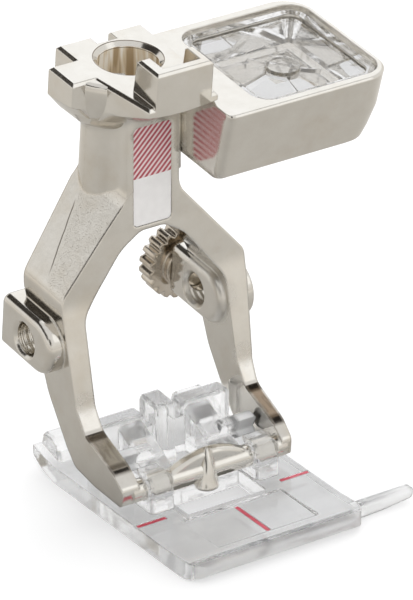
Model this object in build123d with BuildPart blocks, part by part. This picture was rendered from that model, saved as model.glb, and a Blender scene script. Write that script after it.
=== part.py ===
import os
from math import cos, radians, sin, tan

from build123d import *

os.makedirs("parts", exist_ok=True)

# Frame: origin on the socket axis just under its mouth, +X right, +Y back, +Z up, millimetres.
# The shank and what it carries are drawn upright from the head's top face, then leaned over the sole.
shank_lean = 5.8
head_rise = 0.6
# how far cuts run past the faces they open, and how deep fused pieces reach into each other
overcut = 1.0
bury = 0.5

# head
head_half = 5.65
head_rear = 6.1
ear_reach = 8.9
ear_half = 2.45
shoulder_y = -1.9
nose_root_half = 5.9
nose_half = 4.5
nose_front = -11.15
head_drop = 9.0
head_bevel = 0.35
flare_back = 2.0
flare_top = 5.0
flare_floor = -9.2
flare_floor_r = 3.4
flare_low = -5.3
flare_low_r = 7.4
flare_mid = -3.3
flare_mid_r = 9.0
flare_rim = -0.8
flare_rim_r = 14.2
notch_half = 1.3
notch_front = 4.3
notch_depth = 3.0
socket_r = 3.45
socket_mouth_r = 4.0
socket_depth = 9.0

# fork-shaped lock on the nose
lock_half = 3.65
lock_rear = -7.05
lock_height = 4.15
lock_slant = 0.5
lock_bevel = 0.3
lock_left_wall = 1.4
lock_right_wall = 1.0
lock_front_wall = 1.15

# neck and legs
neck_r = 4.95
neck_face_half = 3.5
neck_top = -4.0
neck_bottom = -16.5
neck_rear = 5.0
neck_rear_low = -11.5
neck_side_y = 0.4
neck_edge_y = -4.5
neck_front = -5.3
neck_slab = -7.5
fork_rear = 3.3
fork_rear_low = -15.5
fork_front = -6.6
fork_front_z = -18.0
fork_front_r = 10.0
knee_front = -7.5
knee_z = -25.0
knee_front_r = 12.0
knee_rear = 0.6
knee_rear_z = -24.0
knee_rear_r = 3.0
shin_rear = 0.4
shin_rear_z = -26.0
shin_rear_r = 1.0
split_z = -14.2
split_r = 3.0
knee_out_z = -24.3
knee_out_r = 2.0
shin_out_z = -28.0
shin_out_r = 8.0
knee_in_z = -26.9
knee_in_r = 3.0
arch_side = 4.3
arch_side_z = -20.1
arch_side_r = 6.0
arch_top = -18.4
arch_half = 1.6
arch_r = 2.0
leg_outer = 12.25
leg_inner = 9.5
foot_inner = 9.65
foot_left = 11.9
foot_right = 10.9
ankle_right = 11.75
neck_round = 0.4

# hinge bar, its web and the pointer
bar_y = -19.85
bar_z = -43.0
bar_r = 1.3
bar_tail = 0.8
web_half = 5.4
web_t = 1.5
web_rise = 2.7
web_end_rise = 1.0
web_shoulder = 3.4
web_shoulder_rise = 2.0
web_edge = 0.3
pointer_r = 1.15
pointer_tip_r = 0.1
pointer_rise = 3.0
pointer_drop = 1.12
pointer_front = 0.55

# feet, measured from the bar axis
foot_under = 2.3
ankle_rise = 7.0
ankle_r = 8.0
side_rise = 1.0
shin_low_y = 8.65
shin_low_rise = 6.4
shin_low_r = 2.5
ankle_front_y = 6.9
ankle_front_rise = 4.2
ankle_front_r = 2.5
instep_y = 1.2
instep_rise = 2.6
instep_r = 3.0
tip_reach = 1.05
tip_rise = 1.2
tip_rise_r = 0.9
tip_drop = 1.0
tip_drop_r = 0.5
arch_under_y = 4.45
arch_under_drop = 1.3
heel_under_y = 8.6
heel_under_drop = 1.0
heel_back_y = 10.4
heel_back_rise = 0.7
heel_back_r = 1.5
calf_y = 14.45
calf_rise = 5.7
calf_r = 6.0
foot_under_z = bar_z - foot_under
ankle_z = bar_z + ankle_rise
side_z = bar_z + side_rise

# label seat on the neck face
face_tilt = 5.3
label_mid_y = -6.02
label_mid_z = -11.8
label_w = 5.1
label_h = 12.2
label_corner = 0.6
label_seat_depth = 0.3
label_t = 0.22
label_fit = 0.05

# rod bosses on the legs
boss_r = 3.3
boss_front_y = -5.2
boss_z = -30.7
boss_rear = 1.4
boss_in_right = 8.6
boss_out_right = 13.3
boss_in_left = 10.0
boss_out_left = 14.2
boss_round = 0.9
rod_y = -3.1
rod_z = -31.0
rod_r = 1.9
rod_mouth = 0.4

# clamp screw behind the right boss
screw_x = 10.7
screw_r = 1.4
screw_fit = 0.05
screw_tip_y = -0.6
collar_r = 2.6
collar_t = 0.8
collar_gap = 0.1
knob_r = 4.5
knob_t = 2.25
knurl_count = 20
knurl_w = 0.9
knurl_depth = 0.6

# lens arm
arm_left = 4.0
arm_right = 26.35
arm_front = -14.6
arm_rear = 5.5
arm_top = -1.4
arm_bottom = -10.3
arm_corner = 3.6
arm_left_corner = 0.9
arm_rim = 0.25
arm_draft = 10.8
arm_curve_top = -6.2
arm_curve_mid = -8.8
arm_mid_tuck = 0.65
arm_low_tuck = 1.4
window_left = 8.8
window_right = 25.65
window_front = -13.5
window_rear = 4.2
window_r = 2.5
pocket_depth = 8.2
pocket_draft = 13.0
lens_window_r = 4.8

# prism in the lens arm
prism_set = 0.6
prism_fit = 0.06
prism_foot_gap = 0.05
lens_x = 16.5
lens_y = -6.4
lens_r = 2.0
lens_rise = 0.5
prism_step = 1.0
prism_step_drop = 0.5
facet_w = 10.6
facet_l = 11.4
facet_rise = 3.0
facet_draft = 50.0
star_side = 8.6
star_turn = 45.0
star_rise = 3.4
star_draft = 42.0

# clear sole, drawn with the needle line at y = 0 and the floor at z = 0
hinge_y = 3.5
hinge_z = 4.41
sole_half = 11.75
sole_front = -11.8
sole_rear = 21.9
sole_t = 2.05
sole_front_r = 2.4
sole_rear_r = 0.8
toe_lift = 0.7
toe_flat = -8.8
toe_curve_y = -10.4
toe_curve_z = 0.2
toe_curve_r = 2.0
toe_rise_rear = -6.0
toe_rise_rear_r = 8.0
toe_rise_front = -9.5
toe_rise_front_r = 3.0
toe_top = 2.3
toe_edge = 0.2
toe_round = 0.65
heel_flat = 17.0
heel_lift = 2.6
heel_low_y = 19.6
heel_low_z = 0.7
heel_mid_y = 21.2
heel_mid_z = 1.7
heel_edge = 0.4
heel_round = 2.0
lip_in = 6.8
lip_out = 10.7
lip_front = 17.2
lip_rear = 21.4
lip_top = 4.7
lip_round = 0.7
lip_front_round = 1.5
lip_rear_round = 1.0
clear_edge = 0.35
strip_half = 6.7
strip_front = -9.1
strip_rear = -1.6
strip_depth = 0.12
slot_half = 5.2
slot_front = -0.8
slot_rear = 4.7
clip_in = 5.55
clip_out = 8.65
clip_front = 2.15
clip_rear = 2.0
clip_rise = 1.84
clip_bevel = 0.8
clip_fit = 0.05
clip_mouth = 2.1
clip_mouth_reach = 4.0
clip_mouth_rise = 0.9
clip_mouth_tilt = 24.0
rail_in = 2.8
rail_out = 6.2
rail_front_y = 5.4
rail_front_z = 4.7
rail_front_r = 1.2
rail_wall_drop = 0.2
rail_edge = 0.45
wall_front = 12.0
wall_rear = 14.4
wall_half = 9.1
wall_top = 8.3
wall_edge = 0.7
wall_mid = 6.6
wall_ear_in = 2.4
crest_left = -1.6
crest_right = 1.1
crest_front = 11.2
crest_rear = 15.0
crest_top = 9.5
crest_front_drop = 0.3
crest_r = 0.8
peg_y = 7.8
peg_z = 5.8
peg_r = 1.3
peg_root = 1.6
peg_out = 9.3
wing_reach = 19.6
wing_front = -9.6
wing_rear = -8.0
wing_top = 1.95
wing_tip_low = 0.55
wing_tip_r = 0.6
wing_edge = 0.45
wing_curve_x = 15.5
wing_curve_z = 0.1
wing_flat_x = 13.0

# red guide marks set into the sole
mark_w = 0.52
mark_depth = 0.3
mark_fit = 0.03
mark_inner = 7.7
mark_outer = 11.55
mark_mid_x = 0.3
mark_mid_rear = -2.1
mark_mid_front = -8.9

bar_up = bar_z + head_rise
needle_y = bar_y * cos(radians(shank_lean)) - bar_up * sin(radians(shank_lean)) - hinge_y
floor_z = bar_y * sin(radians(shank_lean)) + bar_up * cos(radians(shank_lean)) - hinge_z
on_shank = Location((0, 0, 0), (shank_lean, 0, 0)) * Location((0, 0, head_rise))
on_floor = Location((0, needle_y, floor_z))
neck_face = Plane(
    origin=(0, label_mid_y, label_mid_z),
    x_dir=(1, 0, 0),
    z_dir=(0, -1, tan(radians(face_tilt))),
)
# corners of the fork from the side: depth, level and rounding
fork_side = [
    (fork_rear, neck_top, 0),
    (neck_front, neck_top, 0),
    (fork_front, fork_front_z, fork_front_r),
    (knee_front, knee_z, knee_front_r),
    (bar_y + shin_low_y, bar_z + shin_low_rise, shin_low_r),
    (bar_y + ankle_front_y, bar_z + ankle_front_rise, ankle_front_r),
    (bar_y + instep_y, bar_z + instep_rise, instep_r),
    (bar_y - tip_reach, bar_z + tip_rise, tip_rise_r),
    (bar_y - tip_reach, bar_z - tip_drop, tip_drop_r),
    (bar_y + arch_under_y, bar_z - arch_under_drop, 0),
    (bar_y + heel_under_y, bar_z - heel_under_drop, heel_back_r),
    (bar_y + heel_back_y, bar_z + heel_back_rise, heel_back_r),
    (bar_y + calf_y, bar_z + calf_rise, calf_r),
    (shin_rear, shin_rear_z, shin_rear_r),
    (knee_rear, knee_rear_z, knee_rear_r),
    (fork_rear, fork_rear_low, 0),
]
# corners of one half of the fork from the front, outside and inside: offset, level and rounding
fork_outside = [
    (neck_face_half, neck_top, 0),
    (neck_face_half, split_z, split_r),
    (leg_outer, knee_out_z, knee_out_r),
    (leg_outer, shin_out_z, shin_out_r),
]
right_foot = [
    (ankle_right, ankle_z, ankle_r),
    (foot_right, side_z, 0),
    (foot_right, foot_under_z, 0),
    (foot_inner, foot_under_z, 0),
]
fork_inside = [
    (leg_inner, knee_in_z, knee_in_r),
    (arch_side, arch_side_z, arch_side_r),
    (arch_half, arch_top, arch_r),
]
left_foot = [
    (-foot_inner, foot_under_z, 0),
    (-foot_left, foot_under_z, 0),
]
fork_view = [
    *fork_outside,
    *right_foot,
    *fork_inside,
    *[(-x, z, r) for x, z, r in reversed(fork_inside)],
    *left_foot,
    *[(-x, z, r) for x, z, r in reversed(fork_outside)],
]
# corners of the sole's plate from the side: depth, level and rounding
sole_side = [
    (heel_flat, 0, 0),
    (heel_low_y, heel_low_z, heel_round),
    (heel_mid_y, heel_mid_z, 0),
    (sole_rear, heel_lift, 0),
    (heel_mid_y, heel_lift + heel_edge, 0),
    (lip_front, sole_t, 0),
    (toe_rise_rear, sole_t, toe_rise_rear_r),
    (toe_rise_front, toe_top, toe_rise_front_r),
    (sole_front, toe_top - toe_edge, toe_round),
    (sole_front, toe_lift, toe_round),
    (toe_curve_y, toe_curve_z, toe_curve_r),
    (toe_flat, 0, 0),
]

with BuildPart() as head:
    with BuildSketch(Plane.XY):
        with BuildLine():
            Polyline(
                (head_half, head_rear),
                (-head_half, head_rear),
                (-head_half, ear_half),
                (-ear_reach, ear_half),
                (-ear_reach, -ear_half),
                (-nose_root_half, -ear_half),
                (-nose_half, nose_front),
                (nose_half, nose_front),
                (nose_root_half, -ear_half),
                (head_half, shoulder_y),
                close=True,
            )
        make_face()
    extrude(amount=-head_drop)
    with BuildSketch(Plane.YZ):
        with BuildLine():
            Polyline(
                (flare_back, flare_floor),
                (flare_back + flare_floor_r, flare_floor),
                (flare_back + flare_low_r, flare_low),
                (flare_back + flare_mid_r, flare_mid),
                (flare_back + flare_rim_r, flare_rim),
                (flare_back + flare_rim_r, flare_top),
                (flare_back, flare_top),
                close=True,
            )
        make_face()
    revolve(axis=Axis((0, flare_back, 0), (0, 0, 1)), mode=Mode.INTERSECT)
    chamfer(head.faces().sort_by(Axis.Z)[-1].edges(), head_bevel)
    with BuildSketch(Plane.YZ):
        with BuildLine():
            Polyline(
                (nose_front, -bury),
                (nose_front, lock_height),
                (lock_rear, lock_height),
                (lock_rear + lock_slant, 0),
                (lock_rear + lock_slant, -bury),
                close=True,
            )
        make_face()
    extrude(amount=lock_half, both=True)
    chamfer(head.faces().sort_by(Axis.Z)[-1].edges(), lock_bevel)
    with BuildSketch(Plane.XY):
        with BuildLine():
            Polyline(
                (-lock_half + lock_left_wall, lock_rear + overcut),
                (-lock_half + lock_left_wall, nose_front + lock_front_wall),
                (lock_half - lock_right_wall, nose_front + lock_front_wall),
                (lock_half - lock_right_wall, lock_rear + overcut),
                close=True,
            )
        make_face()
    extrude(amount=lock_height + overcut, mode=Mode.SUBTRACT)

with BuildPart() as neck:
    with BuildSketch(Plane.XY.offset(neck_top)):
        Circle(neck_r)
        with BuildLine():
            Polyline(
                (-neck_r, neck_side_y),
                (-neck_face_half, neck_edge_y),
                (-neck_face_half, neck_slab),
                (neck_face_half, neck_slab),
                (neck_face_half, neck_edge_y),
                (neck_r, neck_side_y),
                close=True,
            )
        make_face()
    extrude(amount=neck_bottom - neck_top)
    with BuildSketch(Plane.YZ):
        with BuildLine():
            Polyline(
                (neck_rear, neck_top),
                (neck_front, neck_top),
                (fork_front, fork_front_z),
                (fork_rear, fork_front_z),
                (fork_rear, fork_rear_low),
                (neck_rear, neck_rear_low),
                close=True,
            )
        make_face()
    extrude(amount=ear_reach, both=True, mode=Mode.INTERSECT)
    front_edges = neck.faces().sort_by(Axis.Y)[0].edges().filter_by(Axis.X, reverse=True)
    fillet(front_edges, neck_round)

with BuildPart() as fork:
    with BuildSketch(Plane.YZ) as side_view:
        with BuildLine():
            Polyline(*[(y, z) for y, z, _ in fork_side], close=True)
        make_face()
        for y, z, r in fork_side:
            if r:
                fillet(side_view.vertices().sort_by_distance((y, z, 0))[0], r)
    extrude(amount=leg_outer + overcut, both=True)
    with BuildSketch(Plane.XZ) as front_view:
        with BuildLine():
            Polyline(*[(x, z) for x, z, _ in fork_view], close=True)
        make_face()
        for x, z, r in fork_view:
            if r:
                fillet(front_view.vertices().sort_by_distance((x, z, 0))[0], r)
    extrude(amount=overcut - bar_y + bar_r, both=True, mode=Mode.INTERSECT)

with BuildPart() as arm:
    for level, tuck, inset in (
        (arm_top, 0, arm_rim),
        (arm_top - arm_rim, 0, 0),
        (arm_curve_top, 0, 0),
        (arm_curve_mid, arm_mid_tuck, 0),
        (arm_bottom + arm_rim, arm_low_tuck - arm_rim, 0),
        (arm_bottom, arm_low_tuck, arm_rim),
    ):
        draft_in = (arm_top - level) * tan(radians(arm_draft)) + inset
        arm_w = arm_right - tuck - inset - arm_left
        with BuildSketch(Plane.XY.offset(level)) as arm_plan:
            with Locations((arm_left + arm_w / 2, (arm_front + arm_rear) / 2)):
                Rectangle(arm_w, arm_rear - arm_front - 2 * draft_in)
            fillet(arm_plan.vertices().group_by(Axis.X)[-1], arm_corner)
            fillet(arm_plan.vertices().group_by(Axis.X)[0], arm_left_corner)
    loft(ruled=True)

with BuildPart() as left_boss:
    with BuildSketch(Plane.YZ.offset(-boss_out_left)):
        with Locations((boss_front_y, boss_z)):
            Circle(boss_r)
        with Locations(((boss_front_y + boss_rear) / 2, boss_z)):
            Rectangle(boss_rear - boss_front_y, 2 * boss_r)
    extrude(amount=boss_out_left - boss_in_left)
    fillet(left_boss.faces().sort_by(Axis.X)[0].edges().sort_by(Axis.Y)[:-1], boss_round)

with BuildPart() as right_boss:
    with BuildSketch(Plane.YZ.offset(boss_in_right)):
        with Locations((boss_front_y, boss_z)):
            Circle(boss_r)
        with Locations(((boss_front_y + boss_rear) / 2, boss_z)):
            Rectangle(boss_rear - boss_front_y, 2 * boss_r)
    extrude(amount=boss_out_right - boss_in_right)
    fillet(right_boss.faces().sort_by(Axis.X)[0].edges().sort_by(Axis.Y)[:-1], boss_round)

with BuildPart() as web:
    with BuildSketch(Plane.XZ.offset(-bar_y - web_t / 2)):
        with BuildLine():
            Line((-web_half, bar_z), (-web_half, bar_z + web_end_rise))
            Spline(
                (-web_half, bar_z + web_end_rise),
                (-web_shoulder, bar_z + web_shoulder_rise),
                (0, bar_z + web_rise),
                (web_shoulder, bar_z + web_shoulder_rise),
                (web_half, bar_z + web_end_rise),
            )
            Line((web_half, bar_z + web_end_rise), (web_half, bar_z))
            Line((web_half, bar_z), (-web_half, bar_z))
        make_face()
    extrude(amount=web_t)
    chamfer(web.edges().filter_by(GeomType.BSPLINE), web_edge)

with BuildPart() as shank_upright:
    add(head.part)
    add(neck.part)
    add(fork.part)
    add(arm.part)
    add(left_boss.part)
    add(right_boss.part)
    add(web.part)
    # hinge bar and pointer
    with BuildSketch(Plane.YZ):
        with Locations((bar_y, bar_z)):
            Circle(bar_r)
    extrude(amount=foot_inner + bar_tail, both=True)
    with BuildSketch(Plane.YZ):
        with BuildLine():
            Polyline(
                (bar_y - pointer_front, bar_z - pointer_drop),
                (bar_y - pointer_front - pointer_r, bar_z - pointer_drop),
                (bar_y - pointer_front - pointer_tip_r, bar_z + pointer_rise),
                (bar_y - pointer_front, bar_z + pointer_rise),
                close=True,
            )
        make_face()
    revolve(axis=Axis((0, bar_y - pointer_front, 0), (0, 0, 1)))
    # lens pocket
    with BuildSketch(Plane.XY.offset(arm_top)) as window:
        with Locations(((window_left + window_right) / 2, (window_front + window_rear) / 2)):
            RectangleRounded(window_right - window_left, window_rear - window_front, window_r)
    extrude(amount=-pocket_depth, taper=pocket_draft, mode=Mode.SUBTRACT)
    with BuildSketch(Plane.XY.offset(arm_top)):
        with Locations((lens_x, lens_y)):
            Circle(lens_window_r)
    extrude(amount=arm_bottom - arm_top - overcut, mode=Mode.SUBTRACT)
    # socket with its wide mouth, rear notch
    with BuildSketch(Plane.XY):
        Circle(socket_r)
    extrude(amount=-socket_depth, mode=Mode.SUBTRACT)
    with BuildSketch(Plane.YZ):
        with BuildLine():
            Polyline(
                (0, overcut),
                (socket_mouth_r + overcut, overcut),
                (socket_r, socket_r - socket_mouth_r),
                (0, socket_r - socket_mouth_r),
                close=True,
            )
        make_face()
    revolve(axis=Axis.Z, mode=Mode.SUBTRACT)
    with BuildSketch(Plane.XY):
        with Locations((0, (notch_front + head_rear + overcut) / 2)):
            Rectangle(2 * notch_half, head_rear + overcut - notch_front)
    extrude(amount=-notch_depth, mode=Mode.SUBTRACT)
    # rod bores with widened mouths
    with BuildSketch(Plane.YZ):
        with Locations((rod_y, rod_z)):
            Circle(rod_r)
    extrude(amount=boss_out_left + overcut, both=True, mode=Mode.SUBTRACT)
    for mouth_x in (-boss_out_left, boss_in_right):
        with BuildSketch(Plane.YZ.offset(mouth_x)):
            with Locations((rod_y, rod_z)):
                Circle(rod_r + rod_mouth)
        extrude(amount=rod_mouth, taper=45.0, mode=Mode.SUBTRACT)
    # clamp screw bore from the back of the right boss into the rod bore
    with BuildSketch(Plane.XZ.offset(-boss_rear - overcut)):
        with Locations((screw_x, rod_z)):
            Circle(screw_r + screw_fit)
    extrude(amount=boss_rear + overcut - rod_y, mode=Mode.SUBTRACT)
    # label seat
    with BuildSketch(neck_face.offset(-label_seat_depth)):
        RectangleRounded(label_w, label_h, label_corner)
    extrude(amount=label_seat_depth + overcut, mode=Mode.SUBTRACT)

with BuildPart() as prism_upright:
    prism_top = arm_top - prism_set
    prism_foot = arm_top - pocket_depth + prism_foot_gap
    shrink = prism_set * tan(radians(pocket_draft)) + prism_fit
    prism_w = window_right - window_left - 2 * shrink
    prism_l = window_rear - window_front - 2 * shrink
    window_mid = ((window_left + window_right) / 2, (window_front + window_rear) / 2)
    with BuildSketch(Plane.XY.offset(prism_top)):
        with Locations(window_mid):
            RectangleRounded(prism_w, prism_l, window_r - shrink)
    extrude(amount=prism_foot - prism_top, taper=pocket_draft)
    with BuildSketch(Plane.XY.offset(prism_top)):
        with Locations(window_mid):
            RectangleRounded(
                prism_w - 2 * prism_step,
                prism_l - 2 * prism_step,
                window_r - shrink - prism_step,
            )
    extrude(amount=-prism_step_drop, mode=Mode.SUBTRACT)
    with BuildSketch(Plane.XY.offset(prism_top - prism_step_drop)):
        with Locations((lens_x, lens_y)):
            Circle(lens_r)
    extrude(amount=lens_rise)
    # facets hollowed into the underside
    with BuildSketch(Plane.XY.offset(prism_foot)):
        with Locations(window_mid):
            Rectangle(facet_w, facet_l)
    extrude(amount=facet_rise, taper=facet_draft, mode=Mode.SUBTRACT)
    with BuildSketch(Plane.XY.offset(prism_foot)):
        with Locations(window_mid):
            Rectangle(star_side, star_side, rotation=star_turn)
    extrude(amount=star_rise, taper=star_draft, mode=Mode.SUBTRACT)

with BuildPart() as screw_upright:
    with BuildSketch(Plane.XZ.offset(-boss_rear - collar_gap)):
        with Locations((screw_x, rod_z)):
            Circle(collar_r)
    extrude(amount=-collar_t)
    with BuildSketch(Plane.XZ.offset(-boss_rear - collar_gap - collar_t)):
        with Locations((screw_x, rod_z)):
            Circle(knob_r)
    extrude(amount=-knob_t)
    with BuildSketch(Plane.XZ.offset(-boss_rear - collar_gap)):
        with Locations((screw_x, rod_z)):
            Circle(screw_r)
    extrude(amount=boss_rear + collar_gap - screw_tip_y)
    with BuildSketch(Plane.XZ.offset(-boss_rear - collar_gap - collar_t)):
        with Locations((screw_x, rod_z)):
            with PolarLocations(knob_r, knurl_count):
                Polygon(
                    (-knurl_depth, 0),
                    (knurl_depth, -knurl_w),
                    (knurl_depth, knurl_w),
                    align=None,
                )
    extrude(amount=-knob_t, mode=Mode.SUBTRACT)

with BuildPart() as label_upright:
    with BuildSketch(neck_face.offset(-label_seat_depth)):
        RectangleRounded(label_w - 2 * label_fit, label_h - 2 * label_fit, label_corner - label_fit)
    extrude(amount=label_t)

with BuildPart() as plate:
    with BuildSketch(Plane.YZ) as plate_view:
        with BuildLine():
            Polyline(*[(y, z) for y, z, _ in sole_side], close=True)
        make_face()
        for y, z, r in sole_side:
            if r:
                fillet(plate_view.vertices().sort_by_distance((y, z, 0))[0], r)
    extrude(amount=sole_half, both=True)
    with BuildSketch(Plane.XY) as sole_plan:
        with Locations((0, (sole_front + sole_rear) / 2)):
            Rectangle(2 * sole_half, sole_rear - sole_front)
        fillet(sole_plan.vertices().group_by(Axis.Y)[0], sole_front_r)
        fillet(sole_plan.vertices().group_by(Axis.Y)[-1], sole_rear_r)
    extrude(amount=crest_top + overcut, mode=Mode.INTERSECT)

with BuildPart() as lips:
    for lip_x in (-lip_out, lip_in):
        with BuildSketch(Plane.YZ.offset(lip_x)):
            with BuildLine():
                Polyline(
                    (lip_front, sole_t - bury),
                    (lip_front + bury, lip_top - lip_round),
                    (lip_front + lip_front_round, lip_top),
                    (lip_rear - lip_rear_round, lip_top),
                    (heel_mid_y, lip_top - lip_round),
                    (lip_rear, heel_lift),
                    (lip_rear - bury, heel_lift - bury),
                    close=True,
                )
            make_face()
        extrude(amount=lip_out - lip_in)
    chamfer(
        lips.edges().filter_by(Axis.X, reverse=True).filter_by(lambda e: e.center().Z > heel_lift),
        clear_edge,
    )

with BuildPart() as wall:
    with BuildSketch(Plane.XZ.offset(-wall_rear)) as wall_view:
        with BuildLine():
            Polyline(
                (-wall_half, sole_t - bury),
                (-wall_half, wall_top),
                (-wall_ear_in, wall_top),
                (-wall_ear_in, wall_mid),
                (wall_ear_in, wall_mid),
                (wall_ear_in, wall_top),
                (wall_half, wall_top),
                (wall_half, sole_t - bury),
                close=True,
            )
        make_face()
        fillet(wall_view.vertices().filter_by(lambda v: v.Y > wall_mid + clear_edge), wall_edge)
    extrude(amount=wall_rear - wall_front)
    chamfer(
        wall.edges()
        .filter_by(Axis.Y, reverse=True)
        .filter_by(lambda e: e.center().Z > wall_mid + clear_edge),
        clear_edge,
    )

with BuildPart() as crest:
    with BuildSketch(Plane.YZ.offset(crest_left)) as crest_view:
        with BuildLine():
            Polyline(
                (crest_rear, sole_t - bury),
                (crest_rear, crest_top),
                (crest_front, crest_top - crest_front_drop),
                (crest_front - bury, sole_t - bury),
                close=True,
            )
        make_face()
        fillet(crest_view.vertices().filter_by(lambda v: v.Y > wall_top), crest_r)
    extrude(amount=crest_right - crest_left)
    chamfer(
        crest.edges().filter_by(Axis.X, reverse=True).filter_by(lambda e: e.center().Z > sole_t + bury),
        clear_edge,
    )

with BuildPart() as rails:
    for rail_x in (-rail_out, rail_in):
        with BuildSketch(Plane.YZ.offset(rail_x)) as rail_view:
            with BuildLine():
                Polyline(
                    (rail_front_y, sole_t - bury),
                    (rail_front_y, rail_front_z),
                    (wall_front + bury, wall_top - rail_wall_drop),
                    (wall_front + bury, sole_t - bury),
                    close=True,
                )
            make_face()
            fillet(
                rail_view.vertices().sort_by_distance((rail_front_y, rail_front_z, 0))[0],
                rail_front_r,
            )
        extrude(amount=rail_out - rail_in)
    chamfer(
        rails.edges()
        .filter_by(Axis.X, reverse=True)
        .filter_by(lambda e: e.center().Y < wall_front and e.center().Z > sole_t + bury),
        rail_edge,
    )

with BuildPart() as pegs:
    for peg_x in (-peg_out, rail_out - peg_root):
        with BuildSketch(Plane.YZ.offset(peg_x)):
            with Locations((peg_y, peg_z)):
                Circle(peg_r)
        extrude(amount=peg_out - rail_out + peg_root)
    chamfer(pegs.edges().filter_by(GeomType.CIRCLE), clear_edge)

with BuildPart() as clips:
    for clip_x in (-clip_out, clip_in):
        with BuildSketch(Plane.YZ.offset(clip_x)) as clip_view:
            with BuildLine():
                Polyline(
                    (hinge_y - clip_front, sole_t - bury),
                    (hinge_y - clip_front, hinge_z + clip_rise),
                    (hinge_y + clip_rear, hinge_z + clip_rise),
                    (hinge_y + clip_rear, sole_t - bury),
                    close=True,
                )
            make_face()
            fillet(clip_view.vertices().group_by(Axis.Y)[-1], clip_bevel)
        extrude(amount=clip_out - clip_in)
    chamfer(
        clips.edges().filter_by(Axis.X, reverse=True).filter_by(lambda e: e.center().Z > sole_t + bury),
        clear_edge,
    )

with BuildPart() as wing:
    with BuildSketch(Plane.XZ.offset(-wing_rear)) as wing_view:
        with BuildLine():
            Polyline(
                (sole_half - bury, 0),
                (sole_half - bury, wing_top),
                (wing_reach, wing_top),
                (wing_reach, wing_tip_low),
                (wing_curve_x, wing_curve_z),
                (wing_flat_x, 0),
                close=True,
            )
        make_face()
        fillet(wing_view.vertices().group_by(Axis.X)[-1], wing_tip_r)
    extrude(amount=wing_rear - wing_front)
    chamfer(
        wing.edges().filter_by(Axis.Y, reverse=True).filter_by(lambda e: e.center().X > sole_half),
        wing_edge,
    )

with BuildPart() as sole_flat:
    add(plate.part)
    add(lips.part)
    # shallow strip in the toe
    with BuildSketch(Plane.XY.offset(sole_t - strip_depth)):
        with Locations((0, (strip_front + strip_rear) / 2)):
            Rectangle(2 * strip_half, strip_rear - strip_front)
    extrude(amount=strip_depth + toe_top, mode=Mode.SUBTRACT)
    add(wall.part)
    add(crest.part)
    add(rails.part)
    add(pegs.part)
    add(clips.part)
    add(wing.part)
    # bore and mouth of the clips, needle slot
    with BuildSketch(Plane.YZ):
        with Locations((hinge_y, hinge_z)):
            Circle(bar_r + clip_fit)
        with Locations((hinge_y + clip_mouth_reach / 2, hinge_z + clip_mouth_rise)):
            Rectangle(clip_mouth_reach, clip_mouth, rotation=clip_mouth_tilt)
    extrude(amount=clip_out + overcut, both=True, mode=Mode.SUBTRACT)
    with BuildSketch(Plane.XY):
        with Locations((0, (slot_front + slot_rear) / 2)):
            Rectangle(2 * slot_half, slot_rear - slot_front)
    extrude(amount=sole_t + overcut, mode=Mode.SUBTRACT)
    # seats of the red marks
    with BuildSketch(Plane.XY.offset(sole_t - mark_depth)):
        for mark_x in (-(mark_inner + mark_outer) / 2, (mark_inner + mark_outer) / 2):
            with Locations((mark_x, 0)):
                Rectangle(mark_outer - mark_inner, mark_w)
    extrude(amount=mark_depth + overcut, mode=Mode.SUBTRACT)
    with BuildSketch(Plane.XY.offset(sole_t - strip_depth - mark_depth)):
        with Locations((mark_mid_x, (mark_mid_rear + mark_mid_front) / 2)):
            Rectangle(mark_w, mark_mid_rear - mark_mid_front)
    extrude(amount=mark_depth + overcut, mode=Mode.SUBTRACT)

with BuildPart() as marks_flat:
    with BuildSketch(Plane.XY.offset(sole_t - mark_depth)):
        for mark_x in (-(mark_inner + mark_outer) / 2, (mark_inner + mark_outer) / 2):
            with Locations((mark_x, 0)):
                Rectangle(mark_outer - mark_inner - 2 * mark_fit, mark_w - 2 * mark_fit)
    extrude(amount=mark_depth)
    with BuildSketch(Plane.XY.offset(sole_t - strip_depth - mark_depth)):
        with Locations((mark_mid_x, (mark_mid_rear + mark_mid_front) / 2)):
            Rectangle(mark_w - 2 * mark_fit, mark_mid_rear - mark_mid_front - 2 * mark_fit)
    extrude(amount=mark_depth)

with BuildPart() as shank:
    with Locations(on_shank):
        add(shank_upright.part)
shank.part.label = "shank"
export_step(shank.part, "parts/shank.step")

with BuildPart() as prism:
    with Locations(on_shank):
        add(prism_upright.part)
prism.part.label = "sensor_prism"
export_step(prism.part, "parts/sensor_prism.step")

with BuildPart() as clamp_screw:
    with Locations(on_shank):
        add(screw_upright.part)
clamp_screw.part.label = "clamp_screw"
export_step(clamp_screw.part, "parts/clamp_screw.step")

with BuildPart() as label_plate:
    with Locations(on_shank):
        add(label_upright.part)
label_plate.part.label = "label_plate"
export_step(label_plate.part, "parts/label_plate.step")

with BuildPart() as sole:
    with Locations(on_floor):
        add(sole_flat.part)
sole.part.label = "clear_sole"
export_step(sole.part, "parts/clear_sole.step")

with BuildPart() as guide_marks:
    with Locations(on_floor):
        add(marks_flat.part)
guide_marks.part.label = "guide_marks"
export_step(guide_marks.part, "parts/guide_marks.step")
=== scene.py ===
import math

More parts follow.
